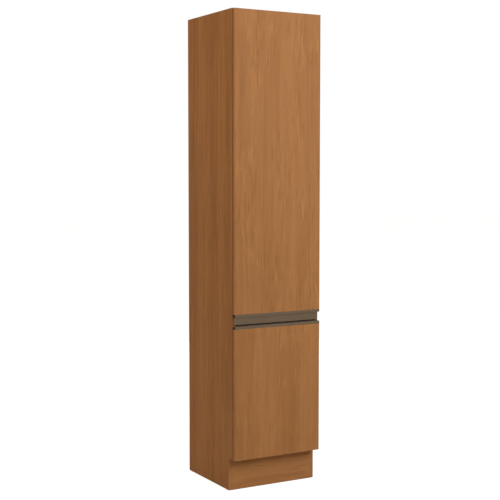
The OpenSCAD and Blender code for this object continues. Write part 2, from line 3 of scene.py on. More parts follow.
import bmesh
import bpy
import numpy as np
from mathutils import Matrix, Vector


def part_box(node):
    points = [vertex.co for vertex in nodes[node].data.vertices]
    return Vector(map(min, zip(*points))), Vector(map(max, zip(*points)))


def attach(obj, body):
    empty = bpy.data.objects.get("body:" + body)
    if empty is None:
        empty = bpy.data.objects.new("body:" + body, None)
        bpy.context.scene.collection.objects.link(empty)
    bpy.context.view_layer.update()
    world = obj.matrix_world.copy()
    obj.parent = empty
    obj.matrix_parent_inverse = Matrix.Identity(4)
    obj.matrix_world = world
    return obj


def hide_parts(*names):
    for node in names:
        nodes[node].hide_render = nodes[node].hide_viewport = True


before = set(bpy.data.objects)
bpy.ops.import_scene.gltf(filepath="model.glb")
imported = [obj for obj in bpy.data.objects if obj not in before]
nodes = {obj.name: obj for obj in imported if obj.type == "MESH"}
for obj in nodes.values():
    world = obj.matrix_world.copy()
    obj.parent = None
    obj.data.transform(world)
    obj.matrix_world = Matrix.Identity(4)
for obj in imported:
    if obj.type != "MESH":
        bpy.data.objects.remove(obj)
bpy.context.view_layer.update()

# Side panels. Two full-height 15 mm chipboards, faced with a matt woodgrain melamine outside and a
# light one inside, sawn square, and left raw at the top, the rear and the bottom. The wood is a
# print: upright streaks a finger wide, short darker and lighter dashes, and pores pressed in.


def linear(colour):
    """sRGB hex to linear RGBA: c / 12.92 up to 0.04045, ((c + 0.055) / 1.055) ** 2.4 above."""
    parts = [int(colour[i : i + 2], 16) / 255 for i in (1, 3, 5)]
    parts = [c / 12.92 if c <= 0.04045 else ((c + 0.055) / 1.055) ** 2.4 for c in parts]
    return (*parts, 1.0)


def add(material, kind, settings=None, links=None):
    """Adds one node. Settings are its properties, or its sockets' values with colours as sRGB hex,
    and links feed its sockets from an output, or from the first output of a node. A Mix node takes
    its share at 0, colours at 6 and 7, numbers at 2 and 3, and gives a colour at 2."""
    node = material.node_tree.nodes.new(kind)
    for key, value in (settings or {}).items():
        if isinstance(key, str) and hasattr(node, key):
            setattr(node, key, value)
        else:
            node.inputs[key].default_value = linear(value) if isinstance(value, str) else value
    for key, source in (links or {}).items():
        output = getattr(source, "outputs", [source])[0]
        material.node_tree.links.new(output, node.inputs[key])
    return node


def start_material(name):
    """An empty node material of that name, with its object coordinates and normals as a node."""
    material = bpy.data.materials.new(name)
    material.use_nodes = True
    material.node_tree.nodes.clear()
    return material, add(material, "ShaderNodeTexCoord")


def close_material(material, colour, roughness, height, depth, finish):
    """Ends a material: colour, roughness and a bump of that depth in metres go into one shader."""
    bump = add(material, "ShaderNodeBump", {"Distance": depth, "Strength": 1.0}, {"Height": height})
    links = {"Base Color": colour, "Roughness": roughness, "Normal": bump}
    shader = add(material, "ShaderNodeBsdfPrincipled", finish, links)
    add(material, "ShaderNodeOutputMaterial", links={"Surface": shader})
    return material


# The print's layers have this many noise cells per metre across the grain and along it. Four of
# them share the tone, and each kind of dash is laid over it in its own ink, up to that share.
GRAIN_CELLS = {"band": (13, 0.4), "cloud": (8, 3), "streak": (60, 2.2), "line": (260, 7),
               "cluster": (11, 5), "dash": (135, 10), "fleck": (150, 9), "pore": (1100, 50)}
TONE_SHARES = {"cloud": 0.16, "streak": 0.32, "line": 0.1}
BAND_SHARE = 0.42
DASHES = {"dash": ("#8C592D", 0.5), "fleck": ("#B87F49", 0.42)}
SWAY = (0.03, 0.03, 0.0)


def woodgrain_print(material, where, shift, lying, calm=0.15):
    """Colour, roughness and height of the printed oak. Noise is stretched along the grain, which
    runs along Z, or along X where the board lies, and sways slowly by up to 30 mm. Bands 75 mm wide
    that run on for metres, clouds of 120 x 330 mm, streaks of 17 x 450 mm and lines of 4 x 140 mm
    share the tone. Short dark and light dashes of 7 x 100 mm come in clusters, and pores of
    0.9 x 20 mm are drawn twice as coarse as real. The bands stand out less as calm grows."""
    turn = (0.0, math.pi / 2, 0.0) if lying else (0.0, 0.0, 0.0)
    placed = add(material, "ShaderNodeMapping", {"Location": shift, "Rotation": turn},
                 {"Vector": where})
    drift = add(material, "ShaderNodeTexNoise", {"Scale": 1.6, "Detail": 1.0}, {"Vector": placed})
    sway = add(material, "ShaderNodeVectorMath", {"operation": "MULTIPLY_ADD", 1: SWAY},
               {0: drift.outputs["Color"], 2: placed})
    layers = {}
    for layer, (across, along) in GRAIN_CELLS.items():
        cells = add(material, "ShaderNodeVectorMath",
                    {"operation": "MULTIPLY", 1: (across, across, along)}, {0: sway})
        layers[layer] = add(material, "ShaderNodeTexNoise",
                            {"Scale": 1.0, "Detail": 2.0, "Roughness": 0.5}, {"Vector": cells})
    tone = add(material, "ShaderNodeMath", {"operation": "MULTIPLY", 1: BAND_SHARE},
               {0: layers["band"]})
    for layer, share in TONE_SHARES.items():
        tone = add(material, "ShaderNodeMath", {"operation": "MULTIPLY_ADD", 1: share},
                   {0: layers[layer], 2: tone})
    light = add(material, "ShaderNodeMapRange", {"From Min": 0.5 - calm, "From Max": 0.5 + calm},
                {"Value": tone})
    colour = add(material, "ShaderNodeMix", {"data_type": "RGBA", 6: "#986336", 7: "#AD7544"},
                 {0: light})
    for layer, (ink, most) in DASHES.items():
        gathered = add(material, "ShaderNodeMath", {"operation": "MULTIPLY_ADD", 1: 0.6},
                       {0: layers["cluster"], 2: layers[layer]})
        drawn = add(material, "ShaderNodeMapRange",
                    {"From Min": 0.89, "From Max": 1.02, "To Max": most}, {"Value": gathered})
        colour = add(material, "ShaderNodeMix", {"data_type": "RGBA", 7: ink},
                     {0: drawn, 6: colour.outputs[2]})
    pore = add(material, "ShaderNodeMapRange", {"From Min": 0.6, "From Max": 0.72, "To Max": 0.35},
               {"Value": layers["pore"]})
    inked = add(material, "ShaderNodeMix", {"data_type": "RGBA", 7: "#75481F"},
                {0: pore, 6: colour.outputs[2]})
    dull = add(material, "ShaderNodeMapRange", {"To Min": 0.6, "To Max": 0.72},
               {"Value": layers["line"]})
    height = add(material, "ShaderNodeMath", {"operation": "MULTIPLY_ADD", 1: -1.0},
                 {0: pore, 2: layers["line"]})
    return inked.outputs[2], dull, height


def light_print(material, where):
    """Colour, roughness and height of the light melamine: a faint cloud 90 mm wide over a fine
    leather-like pearl of 1.2 mm, about twice as coarse as the real one so that it shows."""
    cloud = add(material, "ShaderNodeTexNoise", {"Scale": 11.0, "Detail": 3.0}, {"Vector": where})
    pearl = add(material, "ShaderNodeTexVoronoi", {"Scale": 820.0, "feature": "SMOOTH_F1"},
                {"Vector": where})
    tone = add(material, "ShaderNodeMapRange", {"From Min": 0.3, "From Max": 0.7}, {"Value": cloud})
    colour = add(material, "ShaderNodeMix", {"data_type": "RGBA", 6: "#DEDAD1", 7: "#E2DED5"},
                 {0: tone})
    dull = add(material, "ShaderNodeMapRange", {"To Min": 0.58, "To Max": 0.66}, {"Value": cloud})
    return colour.outputs[2], dull, pearl


def raw_chipboard(material, where):
    """Colour, roughness and height of a sawn chipboard edge: chips 3 mm long in glue and dust."""
    cells = add(material, "ShaderNodeVectorMath", {"operation": "MULTIPLY", 1: (330, 330, 520)},
                {0: where})
    chips = add(material, "ShaderNodeTexVoronoi", {"Scale": 1.0, "Randomness": 1.0},
                {"Vector": cells})
    chip = add(material, "ShaderNodeSeparateColor", links={0: chips.outputs["Color"]})
    dust = add(material, "ShaderNodeTexNoise", {"Scale": 1500.0, "Detail": 3.0}, {"Vector": where})
    blend = add(material, "ShaderNodeMath", {"operation": "MULTIPLY_ADD", 1: 0.5},
                {0: chip, 2: dust})
    share = add(material, "ShaderNodeMapRange", {"From Min": 0.35, "From Max": 1.0},
                {"Value": blend})
    colour = add(material, "ShaderNodeMix", {"data_type": "RGBA", 6: "#8C6A45", 7: "#C9A97B"},
                 {0: share})
    rough = add(material, "ShaderNodeMapRange", {"To Min": 0.8, "To Max": 0.95}, {"Value": dust})
    return colour.outputs[2], rough, share


def blended(material, mask, below, above):
    """Mixes two sets of colour, roughness and height by a mask."""
    colour = add(material, "ShaderNodeMix", {"data_type": "RGBA"},
                 {0: mask, 6: below[0], 7: above[0]})
    rest = [add(material, "ShaderNodeMix", {"data_type": "FLOAT"}, {0: mask, 2: b, 3: a})
            for b, a in zip(below[1:], above[1:])]
    return colour.outputs[2], *rest


# Melamine is a hard resin of IOR 1.5. Its matt press plate leaves it with little mirror gloss.
MELAMINE = {"IOR": 1.5, "Specular IOR Level": 0.12}
FACING = 0.0004


def woodgrain_board(name, axis, low, high, shift, lying=False, light_inside=False, calm=0.15):
    """Woodgrain melamine on chipboard. Points within the facing's thickness of the board's two
    faces, counted along X for axis 0 or Y for axis 1, have the print. Between them the board is
    raw chipboard."""
    material, place = start_material(name)
    where = place.outputs["Object"]
    along = add(material, "ShaderNodeSeparateXYZ", links={0: where}).outputs[axis]
    if light_inside:
        along = add(material, "ShaderNodeMath", {"operation": "ABSOLUTE"}, {0: along})
    outer = add(material, "ShaderNodeMath", {"operation": "GREATER_THAN", 1: high - FACING},
                {0: along})
    inner = add(material, "ShaderNodeMath", {"operation": "LESS_THAN", 1: low + FACING}, {0: along})
    wood = woodgrain_print(material, where, shift, lying, calm)
    faced = blended(material, outer, raw_chipboard(material, where), wood)
    behind = light_print(material, where) if light_inside else wood
    return close_material(material, *blended(material, inner, faced, behind), depth=0.00012,
                          finish=MELAMINE)


WELD_GAP = 0.00001
BEVEL_FROM = math.radians(40)


def finish_node(name, material, edge=0.0):
    """Gives a CAD node its material, and its sharp edges a live bevel of that width in metres."""
    node = nodes[name]
    for place in node.material_slots:
        place.material = material
    if edge:
        weld = node.modifiers.new("joined", "WELD")
        weld.merge_threshold = WELD_GAP
        bevel = node.modifiers.new("edges", "BEVEL")
        bevel.width = edge
        bevel.segments = 2
        bevel.limit_method = "ANGLE"
        bevel.angle_limit = BEVEL_FROM
        bevel.harden_normals = True


BOARD_EDGE = 0.0002
SIDE_SHIFT = (0.31, 1.343, 0.4)
side_low, side_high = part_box("side_panel_right")
side_wood = woodgrain_board("woodgrain_melamine_sides", 0, side_low.x, side_high.x, SIDE_SHIFT,
                            light_inside=True, calm=0.09)
finish_node("side_panel_left", side_wood, BOARD_EDGE)
finish_node("side_panel_right", side_wood, BOARD_EDGE)

# Bottom panel, top panel, middle shelf and loose shelves. 15 mm chipboard with light melamine on
# both faces. Their ends are raw where they meet the sides, and dowels and cams hold the fixed ones.


def level_faces(material, place, least):
    """1 on faces that look up or down, where the normal's height is over that least, and else 0."""
    facing = add(material, "ShaderNodeSeparateXYZ", links={0: place.outputs["Normal"]})
    upright = add(material, "ShaderNodeMath", {"operation": "ABSOLUTE"}, {0: facing.outputs[2]})
    return add(material, "ShaderNodeMath", {"operation": "GREATER_THAN", 1: least}, {0: upright})


def light_board(name):
    """Light melamine on chipboard: faces that look up or down have the print, and ends are raw.
    It's duller than the woodgrain, so the top panel doesn't glare when seen against the light."""
    material, place = start_material(name)
    where = place.outputs["Object"]
    whole = blended(material, level_faces(material, place, least=0.5),
                    raw_chipboard(material, where), light_print(material, where))
    return close_material(material, *whole, depth=0.00004,
                          finish={**MELAMINE, "Specular IOR Level": 0.05})


light_melamine = light_board("light_melamine_boards")
for panel in ("bottom_panel", "top_panel", "middle_shelf", "upper_loose_shelves",
              "lower_loose_shelf"):
    finish_node(panel, light_melamine, BOARD_EDGE)

# Back panels. 3 mm hardboard, painted light on the face to the shelves and bare brown behind, where
# the wire mesh it was pressed on shows. They slide in grooves in the sides, the bottom and the top.

# The mesh has 1.6 mm between wires, drawn at 3 mm so that it doesn't turn into a moire.
WIRE_STEP = 0.003


def hardboard(name, front_y):
    """Painted hardboard: thin flat paint in front, and behind it brown fibre with a woven mark,
    which is the product of two sine waves across and up the sheet."""
    material, place = start_material(name)
    where = place.outputs["Object"]
    axes = add(material, "ShaderNodeSeparateXYZ", links={0: where})
    front = add(material, "ShaderNodeMath", {"operation": "LESS_THAN", 1: front_y + FACING},
                {0: axes.outputs[1]})
    fibres = add(material, "ShaderNodeTexNoise", {"Scale": 420.0, "Detail": 5.0, "Roughness": 0.7},
                 {"Vector": where})
    wires = []
    for axis in (0, 2):
        phase = add(material, "ShaderNodeMath",
                    {"operation": "MULTIPLY", 1: 2 * math.pi / WIRE_STEP}, {0: axes.outputs[axis]})
        wires.append(add(material, "ShaderNodeMath", {"operation": "SINE"}, {0: phase}))
    woven = add(material, "ShaderNodeMath", {"operation": "MULTIPLY"}, {0: wires[0], 1: wires[1]})
    tone = add(material, "ShaderNodeMapRange", {"From Min": 0.3, "From Max": 0.7},
               {"Value": fibres})
    brown = add(material, "ShaderNodeMix", {"data_type": "RGBA", 6: "#6E4C2E", 7: "#9C744B"},
                {0: tone})
    rough = add(material, "ShaderNodeMapRange", {"To Min": 0.7, "To Max": 0.9}, {"Value": fibres})
    whole = blended(material, front, (brown.outputs[2], rough, woven), light_print(material, where))
    return close_material(material, *whole, depth=0.00005,
                          finish={"IOR": 1.5, "Specular IOR Level": 0.3})


back_hardboard = hardboard("painted_hardboard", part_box("upper_back_panel")[0].y)
for panel in ("upper_back_panel", "lower_back_panel"):
    finish_node(panel, back_hardboard)

# Rear rails. Planed pine strips of 15 mm behind the back panels, doweled between the sides. The top
# one takes the two wall screws.


def planed_wood(name, pale, dark, ring_step):
    """Plain wood sawn along X, with a dull, silky gloss. Its rings are a sine, so many metres long,
    of the height bent by a slow noise of up to 90 mm, and fibres of 0.7 x 25 mm lie between."""
    material, place = start_material(name)
    where = place.outputs["Object"]
    slow = add(material, "ShaderNodeVectorMath", {"operation": "MULTIPLY", 1: (1.1, 9.0, 9.0)},
               {0: where})
    bent = add(material, "ShaderNodeTexNoise", {"Scale": 1.0, "Detail": 2.0}, {"Vector": slow})
    axes = add(material, "ShaderNodeSeparateXYZ", links={0: where})
    across = add(material, "ShaderNodeMath", {"operation": "MULTIPLY_ADD", 1: 0.09},
                 {0: bent, 2: axes.outputs[2]})
    phase = add(material, "ShaderNodeMath", {"operation": "MULTIPLY", 1: 2 * math.pi / ring_step},
                {0: across})
    ring = add(material, "ShaderNodeMath", {"operation": "SINE"}, {0: phase})
    fast = add(material, "ShaderNodeVectorMath", {"operation": "MULTIPLY", 1: (40, 1500, 1500)},
               {0: where})
    fibre = add(material, "ShaderNodeTexNoise", {"Scale": 1.0, "Detail": 2.0}, {"Vector": fast})
    mixed = add(material, "ShaderNodeMath", {"operation": "MULTIPLY_ADD", 1: 0.25},
                {0: ring, 2: fibre})
    share = add(material, "ShaderNodeMapRange", {"From Min": 0.2, "From Max": 0.85},
                {"Value": mixed})
    colour = add(material, "ShaderNodeMix", {"data_type": "RGBA", 6: pale, 7: dark}, {0: share})
    rough = add(material, "ShaderNodeMapRange", {"To Min": 0.62, "To Max": 0.75}, {"Value": fibre})
    return close_material(material, colour.outputs[2], rough, share, depth=0.00008,
                          finish={"IOR": 1.45, "Specular IOR Level": 0.4})


PLANED_EDGE = 0.0006
rail_pine = planed_wood("planed_pine_rails", "#D9BC8C", "#BC9159", ring_step=0.004)
finish_node("top_rear_rail", rail_pine, PLANED_EDGE)
finish_node("middle_rear_rail", rail_pine, PLANED_EDGE)

# Toe kick. A woodgrain board whose grain lies along it, set back between the sides, with two bent
# steel brackets behind it under the bottom panel.
kick_low, kick_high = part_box("toe_kick_board")
kick_wood = woodgrain_board("woodgrain_melamine_toe_kick", 1, kick_low.y, kick_high.y,
                            shift=(0.6, 0.05, 0.9), lying=True)
finish_node("toe_kick_board", kick_wood, BOARD_EDGE)


def plated_steel(name, dark, light, roughness, spots=180.0):
    """Plated steel. Plating keeps the stamped sheet's faint mottle, so many spots a metre, and its
    roughness varies with it by 0.06, so highlights break up a little."""
    material, place = start_material(name)
    where = place.outputs["Object"]
    spread = add(material, "ShaderNodeVectorMath",
                 {"operation": "MULTIPLY", 1: (spots, spots, spots)}, {0: where})
    mottle = add(material, "ShaderNodeTexNoise", {"Scale": 1.0, "Detail": 4.0}, {"Vector": spread})
    grit = add(material, "ShaderNodeTexNoise", {"Scale": 3000.0, "Detail": 1.0}, {"Vector": where})
    share = add(material, "ShaderNodeMapRange", {"From Min": 0.35, "From Max": 0.65},
                {"Value": mottle})
    colour = add(material, "ShaderNodeMix", {"data_type": "RGBA", 6: dark, 7: light}, {0: share})
    rough = add(material, "ShaderNodeMapRange",
                {"To Min": roughness - 0.06, "To Max": roughness + 0.06}, {"Value": mottle})
    return close_material(material, colour.outputs[2], rough, grit, depth=0.00001,
                          finish={"Metallic": 1.0})


# Nickel is warm and bright. Blue zinc is cooler and duller.
nickel = plated_steel("bright_nickel_plated_steel", "#B9B5AC", "#D2CEC5", roughness=0.24)
zinc = plated_steel("blue_zinc_plated_steel", "#A3A8AD", "#C3C7CB", roughness=0.36)
finish_node("toe_kick_brackets", nickel, edge=0.0004)

# Screws of the toe kick's brackets. Small cross-recessed pan heads on a rolled thread, zinc plated,
# one through each leg of each bracket.
SHARP_FROM = math.radians(30)
SEAM_GAP = 0.000002


def turned(name, body, material, profile, seats, facets=32, relief=None):
    """A profile of (distance along the axis, radius) carried round an axis, at every seat. A point
    is seat + along * axis + radius * (cos a * side + sin a * up), where relief(along, radius, a)
    may add to along and radius. The profile's first and last points lie on the axis."""
    along, radius = (np.array(column, float)[:, None] for column in zip(*profile))
    angle = np.linspace(0, 2 * np.pi, facets, endpoint=False)[None, :]
    along, radius, angle = np.broadcast_arrays(along, radius, angle)
    if relief:
        more_along, more_radius = relief(along, radius, angle)
        along, radius = along + more_along, radius + more_radius
    places, axes = (np.array(column, float) for column in zip(*seats))
    side = np.cross(axes, np.where(np.abs(axes[:, 2:]) < 0.9, (0.0, 0.0, 1.0), (1.0, 0.0, 0.0)))
    up = np.cross(axes, side)
    places, axes, side, up = (v[:, None, None, :] for v in (places, axes, side, up))
    points = (places + along[None, ..., None] * axes
              + (radius * np.cos(angle))[None, ..., None] * side
              + (radius * np.sin(angle))[None, ..., None] * up)
    row, ring = np.meshgrid(np.arange(len(profile) - 1), np.arange(facets), indexing="ij")
    after = (ring + 1) % facets
    quads = np.stack([row * facets + ring, row * facets + after, (row + 1) * facets + after,
                      (row + 1) * facets + ring], -1).reshape(-1, 4)
    starts = np.arange(len(seats))[:, None, None] * len(profile) * facets
    mesh = bpy.data.meshes.new(name)
    mesh.from_pydata(points.reshape(-1, 3).tolist(), [],
                     (quads[None] + starts).reshape(-1, 4).tolist())
    work = bmesh.new()
    work.from_mesh(mesh)
    bmesh.ops.remove_doubles(work, verts=work.verts, dist=SEAM_GAP)
    bmesh.ops.recalc_face_normals(work, faces=work.faces)
    work.to_mesh(mesh)
    work.free()
    mesh.polygons.foreach_set("use_smooth", np.ones(len(mesh.polygons), bool))
    mesh.set_sharp_from_angle(angle=SHARP_FROM)
    mesh.materials.append(material)
    piece = bpy.data.objects.new(name, mesh)
    bpy.context.scene.collection.objects.link(piece)
    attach(piece, body)
    return piece


def triangle_wave(along, angle, pitch):
    """1 at a thread's root and 0 at its crest: a triangle wave of (along / pitch - full turns)."""
    return np.abs(((along / pitch - angle / (2 * np.pi)) % 1) * 2 - 1)


# Rings of points over a screw's head and along its shank. Then shares: the rim of the head's
# height, the slots' width and reach of the head's radius, and their depth of its height. The thread
# starts so many pitches under the head and ends at a share of the shank's length. It cuts away a
# share of the shank's radius, and the tip's radius is a share of that too.
HEAD_RINGS, SHANK_RINGS = 15, 34
RIM, SLOT_WIDTH, SLOT_REACH, SLOT_DEPTH = 0.35, 0.17, 0.62, 0.62
THREAD_START, THREAD_END, THREAD_DEPTH, TIP = 1.5, 0.92, 0.2, 0.7


def screws(name, body, seats, head_r, head_t, shank_r, shank_len, pitch):
    """Zinc-plated screws with one size of head, shank and thread, at every seat. The pan head's
    height is a rim and over it the square root of (1 - (radius / head_r) ** 4)."""
    share = np.linspace(0, 1, HEAD_RINGS)
    dome = np.stack([head_t * (RIM + (1 - RIM) * np.sqrt(1 - share ** 4)), head_r * share], 1)
    shank = np.stack([-shank_len * np.linspace(0, THREAD_END, SHANK_RINGS),
                      np.full(SHANK_RINGS, shank_r)], 1)
    profile = [*dome.tolist(), (0.0, head_r), *shank.tolist(), (-shank_len, TIP * shank_r),
               (-shank_len, 0.0)]
    slot, reach, depth = SLOT_WIDTH * head_r, SLOT_REACH * head_r, SLOT_DEPTH * head_t

    def relief(along, radius, angle):
        """A cross of two slots is pressed into the head. Its depth is full up to half a slot from
        a slot's middle and falls to none at a whole one, and at the reach. On the shank the radius
        falls in a triangle wave."""
        x, y = np.abs(radius * np.cos(angle)), np.abs(radius * np.sin(angle))
        arm = np.clip((slot - np.minimum(x, y)) / (slot / 2), 0, 1)
        arm = arm * np.clip((reach - np.maximum(x, y)) / slot, 0, 1)
        threaded = (along < -THREAD_START * pitch) & (radius > 0)
        return (-depth * arm * (along > 0),
                -THREAD_DEPTH * shank_r * triangle_wave(along, angle, pitch) * threaded)

    return turned(name, body, zinc, profile, seats, facets=48, relief=relief)


# The thickness and half the width of a bracket, and how far along a leg its hole is.
BRACKET_T, BRACKET_HALF, HOLE_SHARE = 0.002, 0.01, 0.6
bracket_low, bracket_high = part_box("toe_kick_brackets")
bracket_x = bracket_high.x - BRACKET_HALF
bracket_hole = HOLE_SHARE * (bracket_high.y - bracket_low.y)
kick_seats = []
for x in (-bracket_x, bracket_x):
    kick_seats += [((x, kick_high.y + BRACKET_T, bracket_high.z - bracket_hole), (0, 1, 0)),
                   ((x, kick_high.y + bracket_hole, bracket_high.z - BRACKET_T), (0, 0, -1))]
kick_shank = kick_high.y + BRACKET_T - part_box("toe_kick_screws")[0].y
kick_screws = screws("toe_kick_screws_turned", "carcass", kick_seats, head_r=0.0035, head_t=0.0016,
                     shank_r=0.00175, shank_len=kick_shank, pitch=0.0011)
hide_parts("toe_kick_screws")

# Edge bands. 1 mm ABS strips with the same print, glued on the fronts of the sides, the fixed
# panels and round the doors, and scraped flush. ABS has IOR 1.54 and is a little glossier than the
# melamine beside it.
ABS = {"IOR": 1.54, "Specular IOR Level": 0.18}
BAND_EDGE = 0.0003


def woodgrain_band(name, shift):
    """Woodgrain ABS: the grain runs up the strip, and along X on faces that look up or down."""
    material, place = start_material(name)
    where = place.outputs["Object"]
    whole = blended(material, level_faces(material, place, least=0.7),
                    woodgrain_print(material, where, shift, lying=False),
                    woodgrain_print(material, where, shift, lying=True))
    return close_material(material, *whole, depth=0.00008, finish=ABS)


finish_node("side_edge_bands", woodgrain_band("woodgrain_abs_side_bands", SIDE_SHIFT), BAND_EDGE)

# The middle shelf's band lies behind the reveal between the pulls, where the shade reads as a
# black line, so that band is inked dark brown as painted shade for the reveal's shadow gap. The
# other fixed panels have the woodgrain, and the loose shelves a light band like their faces.
# Heights between which the band is inked with painted shade.
PAINTED_SHADE_BAND = (("GREATER_THAN", 0.7), ("LESS_THAN", 0.8))
panel_band, panel_place = start_material("woodgrain_abs_panel_bands_with_painted_shade")
panel_axes = add(panel_band, "ShaderNodeSeparateXYZ", links={0: panel_place.outputs["Object"]})
limits = [add(panel_band, "ShaderNodeMath", {"operation": test, 1: at}, {0: panel_axes.outputs[2]})
          for test, at in PAINTED_SHADE_BAND]
painted_shade_part = add(panel_band, "ShaderNodeMath", {"operation": "MULTIPLY"},
                {0: limits[0], 1: limits[1]})
panel_print = woodgrain_print(panel_band, panel_place.outputs["Object"], (0.2, 0.3, 0.1),
                              lying=True)
# The dark brown ink is painted shade, standing in for the shadow in the reveal.
painted_shade_ink = add(panel_band, "ShaderNodeMix", {"data_type": "RGBA", 7: "#1E140C"},
               {0: painted_shade_part, 6: panel_print[0]})
close_material(panel_band, painted_shade_ink.outputs[2], *panel_print[1:], depth=0.00008, finish=ABS)
finish_node("panel_edge_bands", panel_band, BAND_EDGE)
shelf_band, shelf_place = start_material("light_abs_shelf_bands")
close_material(shelf_band, *light_print(shelf_band, shelf_place.outputs["Object"]),
               depth=0.00003, finish=ABS)
finish_node("shelf_edge_bands", shelf_band, BAND_EDGE)

# Shelf pins. Turned 5 mm steel pins, nickel plated, with a collar that stops them in the side's
# holes and a rounded stub that the loose shelf lies on.
PIN_R = 0.0025
PIN_LEN = 0.017
PIN_COLLAR_R = 0.0037
PIN_ROWS = (-0.173, 0.173)
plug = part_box("shelf_pins")[1].x - side_low.x
stub = plug - PIN_LEN
# The corners of a loose shelf's band have two heights, and the lower one is the shelf's underside.
undersides = sorted({round(v.co.z, 5) for v in nodes["shelf_edge_bands"].data.vertices})[::2]
pin_profile = [(stub, 0.0), (stub, 0.0019), (stub + 0.0002, 0.00225), (stub + 0.0007, PIN_R),
               (-0.0007, PIN_R), (-0.0007, 0.0035), (-0.0005, PIN_COLLAR_R), (0.0, PIN_COLLAR_R),
               (0.0, PIN_R), (plug - 0.0006, PIN_R), (plug, 0.002), (plug, 0.0)]
pin_seats = [((sign * side_low.x, y, z - PIN_R), (sign, 0, 0))
             for z in undersides for y in PIN_ROWS for sign in (-1, 1)]
pins = turned("shelf_pins_turned", "carcass", nickel, pin_profile, pin_seats)
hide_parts("shelf_pins")

# Dowels. Fluted beech pegs of 8 mm with rounded ends, glued in the boards' ends and the sides. The
# flutes let air and glue out.
DOWEL_R = 0.004
DOWEL_LEN = 0.03
FLUTES = 18
FLUTE_DEPTH = 0.00035
PANEL_HEIGHTS = (0.1555, 0.7585, 2.1525)
DOWEL_ROWS = (-0.118, 0.118)
RAIL_ROW, RAIL_HEIGHTS = 0.2205, (0.7335, 0.7835, 2.07, 2.12)
KICK_DOWEL = (-0.1685, 0.074)
beech = planed_wood("fluted_beech_dowels", "#D8B588", "#B98A5C", ring_step=0.0015)


def flutes(along, radius, angle):
    """The radius falls by the flutes' depth where a cosine of so many turns is low."""
    fall = FLUTE_DEPTH / 2 * (1 - np.cos(FLUTES * angle))
    return 0 * along, -fall * (radius > 0.6 * DOWEL_R)


bored = [(y, z) for y in DOWEL_ROWS for z in PANEL_HEIGHTS]
bored += [(RAIL_ROW, z) for z in RAIL_HEIGHTS] + [KICK_DOWEL]
peg_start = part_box("wood_dowels")[1].x - DOWEL_LEN
peg_seats = [((sign * peg_start, y, z), (sign, 0, 0)) for y, z in bored for sign in (-1, 1)]
peg_end = [(0.0, 0.0), (0.0, 0.0030), (0.0004, 0.0036), (0.0012, DOWEL_R)]
peg_profile = peg_end + [(DOWEL_LEN - along, radius) for along, radius in reversed(peg_end)]
dowels = turned("wood_dowels_fluted", "carcass", beech, peg_profile, peg_seats,
                facets=72, relief=flutes)
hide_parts("wood_dowels")

# Cam discs and cam bolts. A zinc die-cast disc in a blind bore of each fixed board pulls on the
# head of a threaded bolt that is screwed into the side. Die casting leaves the zinc grey and dull,
# and the bolts' yellow passivation has a brassy tint.
die_cast = plated_steel("zinc_die_cast", "#8F9396", "#AEB1B3", roughness=0.42, spots=240.0)
brass_plate = plated_steel("yellow_passivated_steel", "#B5974E", "#D6BD79", roughness=0.34)
finish_node("cam_discs", die_cast, edge=0.0003)
BOLT_THREAD_R = 0.0025
BOLT_PITCH = 0.0016
BOLT_HEAD_R, BOLT_NECK_R, BOLT_COLLAR_R = 0.003, 0.002, 0.0036
# Places along a bolt count from the side's inner face, with the head on the cabinet's inside.
HEAD_END, HEAD_NECK, COLLAR = -0.026, -0.021, -0.002
BOLT_RINGS = 42
CAM_ROWS = (-0.15, 0.15)


def bolt_thread(along, radius, angle):
    """Past the collar the radius falls by a quarter in a triangle wave, up to the bolt's tip."""
    threaded = (along > 0.0001) & (radius > 0.9 * BOLT_NECK_R)
    return 0 * along, -0.25 * BOLT_THREAD_R * triangle_wave(along, angle, BOLT_PITCH) * threaded


thread_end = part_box("cam_bolts")[1].x - side_low.x
thread = np.stack([np.linspace(0.0, thread_end - 0.0015, BOLT_RINGS),
                   np.full(BOLT_RINGS, BOLT_THREAD_R)], 1)
bolt_profile = [(HEAD_END, 0.0), (HEAD_END, 0.0024), (HEAD_END + 0.0006, BOLT_HEAD_R),
                (HEAD_NECK - 0.0010, BOLT_HEAD_R), (HEAD_NECK, BOLT_NECK_R), (COLLAR, BOLT_NECK_R),
                (COLLAR, 0.0033), (COLLAR + 0.0003, BOLT_COLLAR_R), (0.0, BOLT_COLLAR_R),
                *thread.tolist(), (thread_end, 0.0014), (thread_end, 0.0)]
bolt_seats = [((sign * side_low.x, y, z), (sign, 0, 0))
              for y in CAM_ROWS for z in PANEL_HEIGHTS for sign in (-1, 1)]
cam_bolts = turned("cam_bolts_threaded", "carcass", brass_plate,
                   bolt_profile, bolt_seats, facets=48, relief=bolt_thread)
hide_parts("cam_bolts")

# Glides. Black polyethylene buttons on a nail, knocked into the undersides of the side panels, so
# that the raw edges stand clear of a wet floor.


def plastic(name, colour, light, roughness, finish):
    """Moulded plastic: an even colour with a slight cloud that moves the roughness by 0.08, and the
    mould's spark-eroded grain of 0.6 mm, which is drawn twice as coarse as the real one."""
    material, place = start_material(name)
    where = place.outputs["Object"]
    cloud = add(material, "ShaderNodeTexNoise", {"Scale": 60.0, "Detail": 3.0}, {"Vector": where})
    grain = add(material, "ShaderNodeTexNoise", {"Scale": 1600.0, "Detail": 2.0}, {"Vector": where})
    shade = add(material, "ShaderNodeMix", {"data_type": "RGBA", 6: colour, 7: light}, {0: cloud})
    rough = add(material, "ShaderNodeMapRange",
                {"To Min": roughness - 0.08, "To Max": roughness + 0.08}, {"Value": cloud})
    return close_material(material, shade.outputs[2], rough, grain, depth=0.00003, finish=finish)


